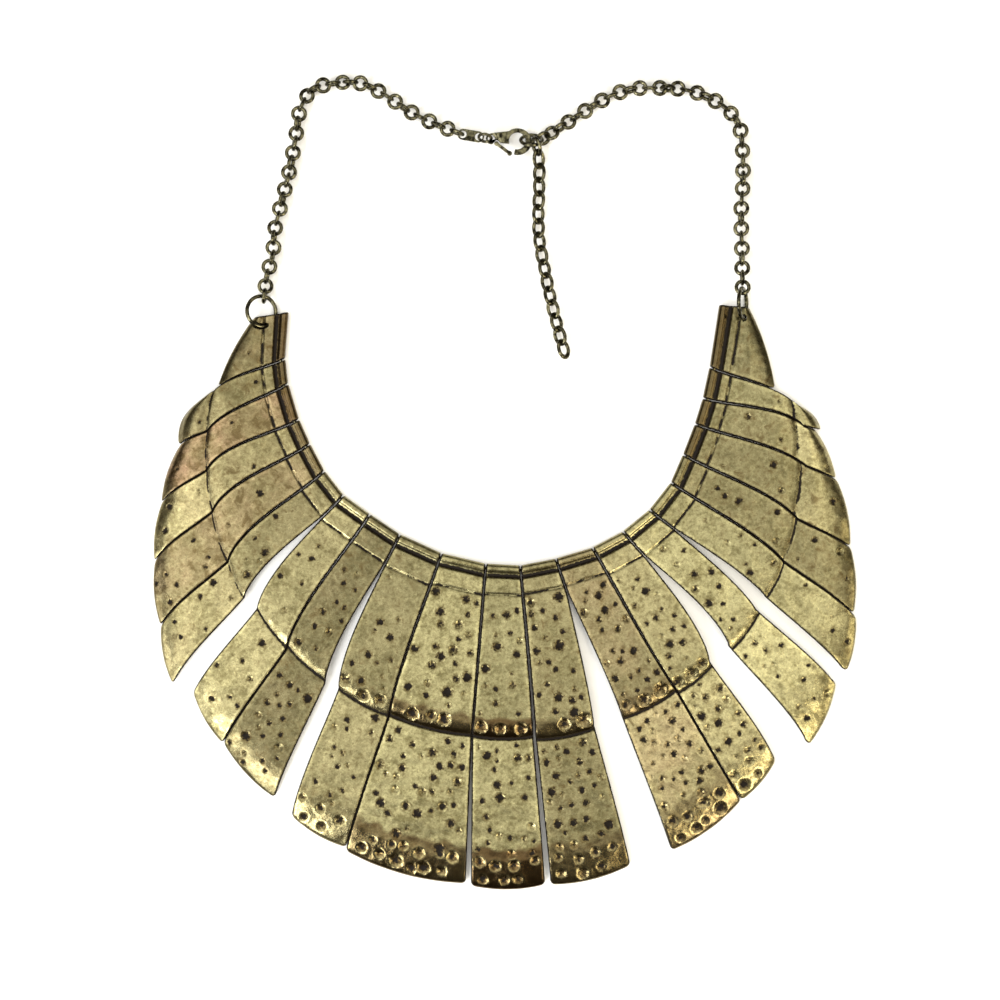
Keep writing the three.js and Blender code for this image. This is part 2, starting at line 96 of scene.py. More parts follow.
# bandEnd to swell shape a plate: drop is how far its lip stands over the crease, swell how round its tip is.
# pits is how many lie on a square centimetre and size scales them. blotch is how stained the flats are,
# pinkReflection how much painted pink reflection lies on the flats, paintedLight and low the painted light
# that sets how bright the plate is above and below the crease, brownReflection how much painted brown
# reflection is on lip and tip.
plates = table(
    ["node", "bandEnd", "stepOut", "tipFrom", "tipTo", "drop", "swell",
     "pits", "size", "blotch", "pinkReflection", "paintedLight", "low", "brownReflection"],
    ["plate_01_end", 5.3, 0, -2.6, -0.5, 0, 0.06, 1.0, 0.7, 0.60, 0.5, 0.49, 0.49, 0],
    ["plate_02", 5.4, 0.2, 0, 0.6, 0.7, 0.2, 1.0, 0.7, 0.60, 0.2, 0.55, 0.50, 0],
    ["plate_03", 5.6, -0.2, 0.6, 0, 0.7, 0.06, 0.5, 0.8, 0.75, 1.0, 0.73, 0.68, 0],
    ["plate_04", 5.8, -0.2, -0.2, 0.1, 0.7, 0.06, 1.0, 0.8, 0.60, 0.2, 0.69, 0.94, 0],
    ["plate_05", 6.2, 0.2, 0, 0.2, 0.7, 0.06, 1.4, 0.9, 0.70, 0.5, 0.67, 0.68, 0],
    ["plate_06", 6.8, 0.1, 0.3, 0.6, 0.8, 0.06, 1.9, 0.9, 0.55, 0.15, 0.55, 0.81, 0],
    ["plate_07", 7.5, -0.1, -1.2, -1.9, 1.0, 0.06, 1.7, 0.9, 0.35, 0.1, 0.65, 0.81, 0],
    ["plate_08", 7.5, -0.6, -2.2, -2.5, 1.1, 0.06, 3.6, 1.0, 0.45, 0.2, 0.42, 0.42, 0],
    ["plate_09", 8.0, 0.1, 0.3, -0.4, 1.3, 0.06, 2.4, 0.9, 0.40, 0.1, 0.53, 0.69, 0.2],
    ["plate_10", 7.2, -0.2, 0.5, 0.4, 1.7, 0.06, 3.4, 1.1, 0.30, 0.0, 0.76, 0.77, 0.8],
    ["plate_11_centre", 6.9, 0, 1.0, 0.8, 1.7, 0.06, 3.4, 1.0, 0.30, 0.0, 0.60, 0.74, 1.0],
    ["plate_12", 6.6, 0.9, 1.0, 1.0, 1.6, 0.06, 4.2, 1.1, 0.50, 0.1, 0.60, 0.58, 0.55],
    ["plate_13", 6.5, 0.7, 0.6, 0, 1.3, 0.06, 4.6, 1.0, 0.45, 0.4, 0.62, 0.95, 0.5],
    ["plate_14", 7.2, 1.5, 0.1, 0, 1.2, 0.06, 4.2, 1.0, 0.35, 0.1, 0.75, 1.00, 0.2],
    ["plate_15", 7.4, 1.3, 2.0, 2.4, 1.1, 0.06, 3.2, 0.9, 0.30, 0.0, 0.86, 1.05, 0.1],
    ["plate_16", 6.7, 0.3, 2.4, 1.6, 1.0, 0.06, 1.8, 0.8, 0.35, 0.0, 0.68, 0.78, 0.1],
    ["plate_17", 6.3, -0.3, 0.8, -1.4, 0.9, 0.06, 1.6, 0.9, 0.55, 0.1, 0.58, 0.52, 0],
    ["plate_18", 5.8, -1.4, -1.5, -2.3, 0.8, 0.06, 0.9, 0.8, 0.55, 0.1, 0.54, 0.72, 0],
    ["plate_19", 5.3, -2.7, -2.5, -3.2, 0.8, 0.06, 0.6, 0.8, 0.55, 0.1, 0.58, 1.00, 0],
    ["plate_20", 4.9, -3.2, -1.2, -2.6, 0.7, 0.16, 0.5, 0.7, 0.50, 0.0, 0.62, 0.80, 0],
    ["plate_21_end", 4.6, 0, -8.0, -3.1, 0, 0.06, 0.2, 0.7, 0.50, 0.1, 0.46, 0.46, 0],
)


def pointOn(line, degrees, out=0.0):
    angle = math.radians(degrees)
    across = (line["rx"] + out) * math.sin(angle)
    outward = (line["ry"] + out) * math.cos(angle)
    return Vector((line["x"] + across, line["y"] - outward))


# Sideways bow of a seam from 0 to 1 of its length: fullest at the peak, and less below the step line.
bow = {"peak": 0.68, "rise": 1.7, "fall": 0.8, "lowerShare": 0.45}


def bowShape(t):
    if not 0 < t < 1:
        return 0.0
    return (t / bow["peak"]) ** bow["rise"] * ((1 - t) / (1 - bow["peak"])) ** bow["fall"]


# way is 0 at the bead, 1 at the step line and 2 at the rim line.
# hand is 1 for the plate after the seam and -1 for the one before it.
def seamEdge(seam, way, hand):
    neck = pointOn(lines["neck"], seam["neck"], seam["neckOut"])
    step = pointOn(lines["step"], seam["step"])
    rim = pointOn(lines["rim"], seam["rim"])
    upper = (step - neck).normalized()
    lower = (rim - step).normalized()
    along = upper.lerp(lower, clamp01((way - joint["turnFrom"]) / joint["turnOver"])).normalized()
    across = Vector((-along.y, along.x))
    if way <= 1:
        point = neck + (step - neck) * way
        aside = seam["bow"] * bowShape(way)
        opened = clamp01((way - joint["openFrom"]) / (1 - joint["openFrom"]))
        gap = lerp(joint["neckGap"], seam["stepGap"], opened)
    else:
        point = step + (rim - step) * (way - 1)
        aside = bow["lowerShare"] * seam["bow"] * bowShape(way - 1)
        gap = lerp(seam["stepGap"], seam["rimGap"], min(way - 1, 1))
    return point + across * (aside + hand * gap / 2)


def planOf(plate, before, after, isEnd):
    sides = []
    for seam, hand, out in ((before, 1, plate["tipFrom"]), (after, -1, plate["tipTo"])):
        step = pointOn(lines["step"], seam["step"])
        upper = (step - pointOn(lines["neck"], seam["neck"], seam["neckOut"])).length
        lower = (step - pointOn(lines["rim"], seam["rim"])).length
        stepOut = out if isEnd else plate["stepOut"]
        sides.append({
            "seam": seam, "hand": hand, "upper": upper,
            "stepWay": 1 + stepOut / (lower if stepOut > 0 else upper),
            "tipWay": 2 + out / lower,
            "upperRun": upper + stepOut, "lowerRun": lower + out - stepOut,
        })
    upper = (sides[0]["upperRun"] + sides[1]["upperRun"]) / 2
    lower = 0 if isEnd else (sides[0]["lowerRun"] + sides[1]["lowerRun"]) / 2
    return {
        "sides": sides, "upper": upper, "lower": lower, "length": upper + lower,
        "bandEnd": plate["bandEnd"], "swell": plate["swell"],
    }


stepSwell = 0.045  # how round the lip is, as a share of its width


# The two side points of a plate, run mm from the bead's centre line, and how far its middle bows outward.
def sidesAt(plan, run):
    corners = []
    for side in plan["sides"]:
        if run > plan["upper"] and plan["lower"]:
            way = lerp(side["stepWay"], side["tipWay"], (run - plan["upper"]) / plan["lower"])
        else:
            spread = clamp01((run - plan["bandEnd"]) / (plan["upper"] - plan["bandEnd"]))
            way = run / side["upper"] + (side["stepWay"] - plan["upper"] / side["upper"]) * spread
        corners.append(seamEdge(side["seam"], way, side["hand"]))
    pastStep = (run - plan["upper"]) / plan["lower"] if plan["lower"] and run > plan["upper"] else 0
    share = lerp(stepSwell, plan["swell"], pastStep) * clamp01(run / plan["upper"]) ** 2
    return corners[0], corners[1], share


def placeOn(sides, u):
    chord = sides[1] - sides[0]
    outward = Vector((chord.y, -chord.x))
    return sides[0] + chord * u + outward * (sides[2] * 4 * u * (1 - u))


def widthAt(plan, run):
    sides = sidesAt(plan, run)
    return (sides[1] - sides[0]).length


# Lengthwise section of a plate: a rolled hem round the wire, a band between two grooves, a rising panel,
# a rounded lip, a crease, the lower panel and a tip turned down to the floor.
hem = {"radius": 1.28, "from": -40, "to": -318, "steps": 24, "wall": 0.78}
section = {
    "floor": 1.95, "band": 2.8, "lip": 4.2, "lowShare": 0.57, "tip": 1.5, "lipRun": 6.5, "tipRun": 10.0,
    "wall": 1.3, "tipWall": 0.75, "edge": 0.15, "cell": 0.36, "fineCell": 0.21, "walk": 0.05,
}
endTip = {"run": 4.5, "share": 0.35, "rise": 0.4, "wall": 2.0}  # an end plate has no crease


def softened(points, times):
    for _ in range(times):
        cut = [points[0]]
        for a, b in zip(points, points[1:]):
            cut += [a.lerp(b, 0.25), a.lerp(b, 0.75)]
        points = cut + [points[-1]]
    return points


def hemPoints():
    radius = hem["radius"]
    points = []
    for i in range(hem["steps"] + 1):
        angle = math.radians(lerp(hem["from"], hem["to"], i / hem["steps"]))
        points.append(Vector((radius * math.cos(angle), radius * (1 + math.sin(angle)))))
    return points


def endTipPoints(plan):
    length, bandEnd = plan["length"], plan["bandEnd"]
    endRun = min(endTip["run"], plan["upper"] * endTip["share"])
    crest = lerp(section["band"], section["lip"], endTip["rise"])
    return [
        (lerp(bandEnd, plan["upper"] - endRun, 0.8), crest), (length - endRun, crest),
        (length - endRun * 0.45, crest - 0.45), (length - 0.7, crest - 1.1), (length - 0.25, crest - 1.45),
    ]


def panelPoints(plan, drop):
    upper, length, lip = plan["upper"], plan["length"], section["lip"]
    lipStart = upper - section["lipRun"]
    endRun = min(section["tipRun"], plan["lower"] * 0.6)
    low = lip - drop * section["lowShare"]
    return [
        (lerp(plan["bandEnd"], lipStart, 0.45), lerp(section["band"], lip, 0.6)), (lipStart, lip),
        (upper - 3.6, lip - 0.12 * drop), (upper - 1.7, lip - 0.42 * drop), (upper - 0.7, lip - 0.78 * drop),
        (upper - 0.25, lip - drop), (upper + 0.15, lip - drop), (upper + 0.7, low - 0.1),  # the crease
        (length - endRun, low), (length - endRun * 0.45, lerp(low, section["tip"], 0.4)),
        (length - 0.8, section["tip"]), (length - 0.25, section["tip"] - 0.6),
    ]


def sectionOf(plan, plate, isEnd):
    floor, band = section["floor"], section["band"]
    rest = [
        (1.35, floor + 0.05), (1.75, floor), (2.15, floor + 0.05),  # the groove beside the bead
        (2.5, band - 0.1), (2.9, band), (plan["bandEnd"] + 0.5, band),
    ]
    if isEnd:
        rest += endTipPoints(plan)
        sole = lerp(band, section["lip"], endTip["rise"]) - endTip["wall"]
    else:
        rest += panelPoints(plan, plate["drop"])
        sole = 0.06
    last = plan["length"] - section["edge"]
    rest += [(last, sole + 0.3), (last, sole)]
    rolled = hemPoints()
    return rolled[:-1] + softened([rolled[-1]] + [Vector(spot) for spot in rest], 2)


# Closer rows in the hem, the grooves, the crease and the tip's edge.
def isFineRow(plan, run):
    inGroove = run < 3.2 or abs(run - plan["bandEnd"]) < 0.7
    inCrease = abs(run - plan["upper"] + 0.4) < 1.3
    return inGroove or inCrease or run > plan["length"] - 1.2


# Walks the section and keeps a row every cell.
def rowsOf(plan, points):
    kept = [points[0]]
    travelled = 0.0
    for a, b in zip(points, points[1:]):
        pieces = max(1, math.ceil((b - a).length / section["walk"]))
        for i in range(1, pieces + 1):
            spot = a.lerp(b, i / pieces)
            travelled += (b - a).length / pieces
            if travelled >= (section["fineCell"] if isFineRow(plan, spot.x) else section["cell"]):
                kept.append(spot)
                travelled = 0.0
    kept[-1] = points[-1]
    return kept


# Hammering: pits over the flats, and broader dimples in rows on the lip and the tip of the plates painted
# with a brown reflection.
hammer = {
    "pitFrom": 0.68, "pitTo": 1.3, "pitDepth": 0.36, "apart": 1.7, "margin": 1.5, "reach": 3.2,
    "fromBand": 1.8, "fromTip": 1.6, "offCrease": 1.2, "offLip": 5.5, "offTip": 9,
    "swell": 0.17, "swellSize": 5.0, "ripple": 0.06, "rippleSize": 1.9, "cornerRound": 1.1,
}
dimples = table(
    ["line", "back", "radius", "stagger"],
    ["upper", 3.1, 1.85, -0.1],
    ["length", 3.0, 1.75, 0.2],
    ["length", 7.2, 1.6, -0.1],
)
dimpleSpacing = 4.4
brownReflectionFrom = 0.15  # plates with more painted brown reflection than this have dimples
# From the side inwards: how far in each of the first columns lies, and how far it is rounded down (mm).
edgeSteps = [(0.0, 0.65), (0.03, 0.4), (0.1, 0.2), (0.24, 0.06), (0.45, 0.0)]


def areaBetween(plan, start, end, strips=12):
    widths = [widthAt(plan, lerp(start, end, (i + 0.5) / strips)) for i in range(strips)]
    return sum(widths) * (end - start) / strips


def isDimpled(plate, plan, run):
    onLip = plan["upper"] - hammer["offLip"] < run < plan["upper"]
    return plate["brownReflection"] > brownReflectionFrom and (onLip or run > plan["length"] - hammer["offTip"])


def scatterPits(plate, plan, draw):
    pits = []
    start, end = plan["bandEnd"] + hammer["fromBand"], plan["length"] - hammer["fromTip"]
    wanted = round(areaBetween(plan, start, end) / 100 * plate["pits"])
    for _ in range(wanted * 30):
        if len(pits) >= wanted:
            break
        run = lerp(start, end, draw.random() ** 0.8)
        inward = hammer["margin"] / widthAt(plan, run)
        spot = placeOn(sidesAt(plan, run), lerp(inward, 1 - inward, draw.random()))
        radius = lerp(hammer["pitFrom"], hammer["pitTo"], draw.random() ** 1.4) * plate["size"]
        nearCrease = plan["lower"] and abs(run - plan["upper"]) < hammer["offCrease"]
        isClear = all((spot - other["spot"]).length > hammer["apart"] + radius for other in pits)
        if isClear and not nearCrease and not isDimpled(plate, plan, run):
            depth, dark = draw.uniform(0.75, 1.0), draw.random() ** 0.35
            pits.append({"spot": spot, "radius": radius, "depth": depth, "dark": dark, "isDimple": False})
    return pits


def dimpleRows(plan, draw):
    pits = []
    for row in dimples:
        run = plan[row["line"]] - row["back"]
        count = max(3, int(widthAt(plan, run) / dimpleSpacing))
        for i in range(count):
            u = (i + 0.5 + row["stagger"]) / count + draw.uniform(-0.04, 0.04)
            if 0.1 < u < 0.9:
                spot = placeOn(sidesAt(plan, run + draw.uniform(-0.7, 0.7)), u)
                radius = row["radius"] * draw.uniform(0.75, 1.1)
                depth, dark = draw.uniform(0.6, 0.9), draw.uniform(0.5, 1.0)
                pits.append({"spot": spot, "radius": radius, "depth": depth, "dark": dark, "isDimple": True})
    return pits


# A bell of the given width round 0.
def bell(distance, width):
    return math.exp(-(distance / width) ** 2)


# A round hollow with a slightly raised rim; t is 1 at the edge of the hollow.
def hollow(t):
    return -(1 - t * t) ** 1.5 if t < 1 else 0.14 * bell(t - 1.15, 0.22)


# At a spot of the plate's plan: how far the surface is pushed out, how deep in a pit it is, and how near to a
# dimple's rim, where a painted highlight brightens the colour and thins the painted brown reflection.
def hammeredAt(spot, index, pits, tree, ease):
    seed = Vector((7.3 * index, 2.1 * index, 0))
    push = ease * hammer["swell"] * noise.noise(spot / hammer["swellSize"] + seed)
    push += ease * hammer["ripple"] * noise.noise(spot / hammer["rippleSize"] - seed)
    deepest = 0.0
    rimHighlight = 0.0
    for _, k, distance in tree.find_range(spot, hammer["reach"]):
        pit = pits[k]
        t = distance * (1 + 0.3 * noise.noise(spot * 1.2 + Vector((k, index, 0)))) / pit["radius"]
        push += ease * hollow(t) * pit["radius"] * pit["depth"] * hammer["pitDepth"]
        deepest = max(deepest, pit["dark"] * (1 - t / (1.0 if pit["isDimple"] else 1.5)))
        # a painted highlight round the rim of each dimple
        if pit["isDimple"]:
            rimHighlight = max(rimHighlight, bell(t - 0.95, 0.25))
    return push, deepest, rimHighlight


# Where the colour goes dark: patina in the two grooves, painted shadow along the crease under the lip, and
# painted shade along the plate's sides where it meets its neighbours. It breaks up into dashes.
grooves = {"bandGroove": 0.36, "bandDepth": 0.3, "beadGrooveAt": 1.85, "beadGroove": 0.62, "side": 0.45}


def isOnTop(here):
    return here.x > 1.0 and here.y > 1.5


def grooveAt(plan, run):
    return bell(run - plan["bandEnd"], grooves["bandGroove"])


def patinaAndShadeAt(plate, plan, index, here, spot, inset):
    run = here.x
    roughEdge = 0.15 * noise.noise(spot * 0.9 + Vector((0, 0, index)))
    dash = clamp01(0.7 + 1.6 * noise.noise(spot * 0.35 + Vector((index, 0, 3))))
    patinaAndShade = 0.0
    if isOnTop(here):
        fromGroove = abs(run - grooves["beadGrooveAt"] - roughEdge)
        besideBead = clamp01(1.35 - fromGroove / grooves["beadGroove"]) * clamp01(inset / 0.7)
        patinaAndShade = max(grooveAt(plan, run) * dash, besideBead)
    # the crease: a painted shadow under the lip, wider the further the lip stands over it
    if plan["lower"]:
        fromCrease = abs(run - plan["upper"] + 0.1 - roughEdge)
        strength = 1.0 if plate["drop"] > 0.9 else dash
        patinaAndShade = max(patinaAndShade, clamp01(1.3 - fromCrease / (0.3 + 0.12 * plate["drop"])) * strength)
    # the sides: painted shade between neighbouring plates, darkest at the very edge
    if inset <= edgeSteps[-1][0]:
        patinaAndShade = max(patinaAndShade, 1.25 - inset / grooves["side"])
    return patinaAndShade


# How far the painted brown reflection reaches up from the lip's edge and the tip (mm), and the painted brown
# reflection on the beads, which starts this many degrees round the neck.
brownReflectionZone = {
    "lip": 5.8, "lipBlend": 0.9, "tip": 12.0, "tipBlend": 1.5,
    "bead": 0.5, "beadFrom": 52, "beadBlend": 12,
}


def beadBrownReflection(index, run):
    middle = (seams[index]["neck"] + seams[index + 1]["neck"]) / 2
    return clamp01((abs(middle) - brownReflectionZone["beadFrom"]) / brownReflectionZone["beadBlend"]) if run < 2.4 else 0.0


def brownReflectionAt(plate, plan, index, run, spot):
    if not plan["lower"]:
        return 0.0
    wave = 1.1 * noise.noise(spot * 0.3 + Vector((0, 0, index)))
    onLip = 0.0
    if run < plan["upper"]:
        onLip = clamp01((run - plan["upper"] + brownReflectionZone["lip"] + wave) / brownReflectionZone["lipBlend"])
    onTip = clamp01((run - plan["length"] + brownReflectionZone["tip"] + 2 * wave) / brownReflectionZone["tipBlend"])
    return plate["brownReflection"] * max(onLip, onTip)


# Painted light: how bright the plate is drawn above and below the crease, with painted highlights near its
# edges and round the dimples' rims, and the beads dimmed under their painted brown reflection.
def paintedLightAt(plate, plan, run, inset, rimHighlight, beadReflection):
    paintedLight = plate["low"] if plan["lower"] and run > plan["upper"] else plate["paintedLight"]
    # a painted highlight along the plate's edge, a little in from the side
    edgeHighlight = 0.35 * bell(inset - 0.8, 0.3)
    return paintedLight * (1 + edgeHighlight) * (1 + 0.2 * rimHighlight) * (1 - 0.5 * beadReflection)


# How far in from the nearer side a column lies, and how far the edge is rounded down there.
def columnAt(i, columns, width):
    nearest = min(i, columns - i)
    inner = len(edgeSteps) - 1
    if nearest <= inner:
        return edgeSteps[nearest]
    share = (nearest - inner) / (columns / 2 - inner)
    return lerp(edgeSteps[-1][0], width / 2, share), 0.0


def pitTree(pits):
    tree = kdtree.KDTree(len(pits))
    for i, pit in enumerate(pits):
        tree.insert((pit["spot"].x, pit["spot"].y, 0), i)
    tree.balance()
    return tree


# A grid is given a second skin, then its points are laid along the section: the first skin outside, the other
# a wall's thickness under it.
def makePlate(index, plate, isEnd, draw):
    plan = planOf(plate, seams[index], seams[index + 1], isEnd)
    rows = rowsOf(plan, sectionOf(plan, plate, isEnd))
    widest = max(widthAt(plan, plan["upper"]), widthAt(plan, plan["length"]))
    columns = max(14, round(widest / section["cell"]))
    pits = scatterPits(plate, plan, draw)
    if plate["brownReflection"] > brownReflectionFrom and not isEnd:
        pits += dimpleRows(plan, draw)
    tree = pitTree(pits)

    bm = bmesh.new()
    bmesh.ops.create_grid(bm, x_segments=columns, y_segments=len(rows) - 1, size=0.5)
    layers = {name: bm.verts.layers.float.new(name) for name in ("patinaAndShade", "pit", "brownReflectionMask", "paintedLight")}
    raised = bmesh.ops.extrude_face_region(bm, geom=bm.faces[:])["geom"]
    outer = {item for item in raised if isinstance(item, bmesh.types.BMVert)}
    rowFacts = []
    for j, here in enumerate(rows):
        tangent = (rows[min(j + 1, len(rows) - 1)] - rows[max(j - 1, 0)]).normalized()
        normal = Vector((-tangent.y, tangent.x))
        rowFacts.append((here, normal, sidesAt(plan, here.x), sidesAt(plan, here.x + 0.5)))
    for vert in bm.verts:
        i = round((vert.co.x + 0.5) * columns)
        here, normal, sides, nextSides = rowFacts[round((vert.co.y + 0.5) * (len(rows) - 1))]
        width = (sides[1] - sides[0]).length
        inset, rounding = columnAt(i, columns, width)
        u = inset / width if i <= columns - i else 1 - inset / width
        fromTip = max(0.0, plan["length"] - section["edge"] - here.x)
        corner = hammer["cornerRound"]
        if fromTip < corner:
            pinch = (corner - math.sqrt(corner ** 2 - (corner - fromTip) ** 2)) / width
            u = lerp(pinch, 1 - pinch, u)
        place = placeOn(sides, u)
        forward = (placeOn(nextSides, u) - place).normalized()
        spot = Vector((place.x, place.y, 0))
        pastHem = clamp01((here.x - 2.8) / 1.5)
        if vert in outer:
            ease = pastHem * clamp01((fromTip + 0.3) / 1.2) * clamp01(inset / 0.8 + 0.3)
            push, deepest, rimHighlight = hammeredAt(spot, index, pits, tree, ease)
            push -= rounding
            if isOnTop(here):
                push -= grooves["bandDepth"] * grooveAt(plan, here.x)
            beadReflection = beadBrownReflection(index, here.x)
            brownReflectionMask = brownReflectionAt(plate, plan, index, here.x, spot) * (1 - 0.4 * rimHighlight)
            vert[layers["patinaAndShade"]] = patinaAndShadeAt(plate, plan, index, here, spot, inset)
            vert[layers["pit"]] = deepest if here.x > 3.4 else 0
            vert[layers["brownReflectionMask"]] = max(brownReflectionZone["bead"] * beadReflection, brownReflectionMask)
            vert[layers["paintedLight"]] = paintedLightAt(plate, plan, here.x, inset, rimHighlight, beadReflection)
        else:
            thin = hem["wall"] if here.x < 4 else section["tipWall"]
            push = -lerp(thin, section["wall"], pastHem * clamp01((fromTip - 0.6) / 1.4))
            # painted shade under the plate: its underside and inner walls are drawn dark and dimmer
            vert[layers["patinaAndShade"]] = 0.6
            vert[layers["paintedLight"]] = 0.7
        height = max(0.02, here.y + normal.y * push)
        level = place + forward * (normal.x * push)
        vert.co = Vector((level.x, level.y, height)) * mm
    bmesh.ops.recalc_face_normals(bm, faces=bm.faces)
    if bm.calc_volume(signed=True) < 0:
        bmesh.ops.reverse_faces(bm, faces=bm.faces)
    mesh = bpy.data.meshes.new(plate["node"] + "_mesh")
    bm.to_mesh(mesh)
    bm.free()
    for name in ("pinkReflection", "blotch"):
        layer = mesh.attributes.new(name, "FLOAT", "POINT")
        layer.data.foreach_set("value", [plate[name]] * len(mesh.vertices))
    return finishMesh("hammered_" + plate["node"], mesh, 50)


def finishMesh(name, mesh, sharpAngle=40):
    mesh.polygons.foreach_set("use_smooth", [True] * len(mesh.polygons))
    mesh.set_sharp_from_angle(angle=math.radians(sharpAngle))
    piece = bpy.data.objects.new(name, mesh)
    bpy.context.scene.collection.objects.link(piece)
    return piece


# Materials.
# Adds a node with its settings, fills or links its sockets, and gives back one of its outputs.
def addNode(tree, kind, sockets, output=0, **settings):
    node = tree.nodes.new(kind)
    for name, value in settings.items():
        setattr(node, name, value)
    for socket, value in sockets.items():
        if isinstance(value, bpy.types.NodeSocket):
            tree.links.new(value, node.inputs[socket])
        else:
            node.inputs[socket].default_value = value
    return node.outputs[output]


def newMaterial(name):
    material = bpy.data.materials.new(name)
    material.use_nodes = True
    tree = material.node_tree
    tree.nodes.clear()
    output = tree.nodes.new("ShaderNodeOutputMaterial")
    shader = tree.nodes.new("ShaderNodeBsdfPrincipled")
    tree.links.new(shader.outputs[0], output.inputs["Surface"])
    return material, tree, shader


# Cast brass, antiqued: dark sulphide patina rubbed back on the high places and left in pits and grooves,
# with painted shade along the crease and the sides, painted light and highlights in its brightness,
# and painted pink and brown reflections.
plateLook = {
    "brass": "a49d73", "olive": "716a48", "pinkReflectionColour": "9a7b62",
    "patinaAndShade": "120c06", "halo": "43351c", "brownReflection": "4d3d27",
}
plateGrains = table(
    ["name", "size", "detail", "rough", "distortion"],
    ["stains", 3.4, 8, 0.72, 0.5],
    ["specks", 0.7, 5, 0.65, 0],
    ["clouds", 12.0, 4, 0.55, 0],
    ["mottle", 1.3, 6, 0.7, 0],
    ["casting", 1.1, 7, 0.7, 0],
)


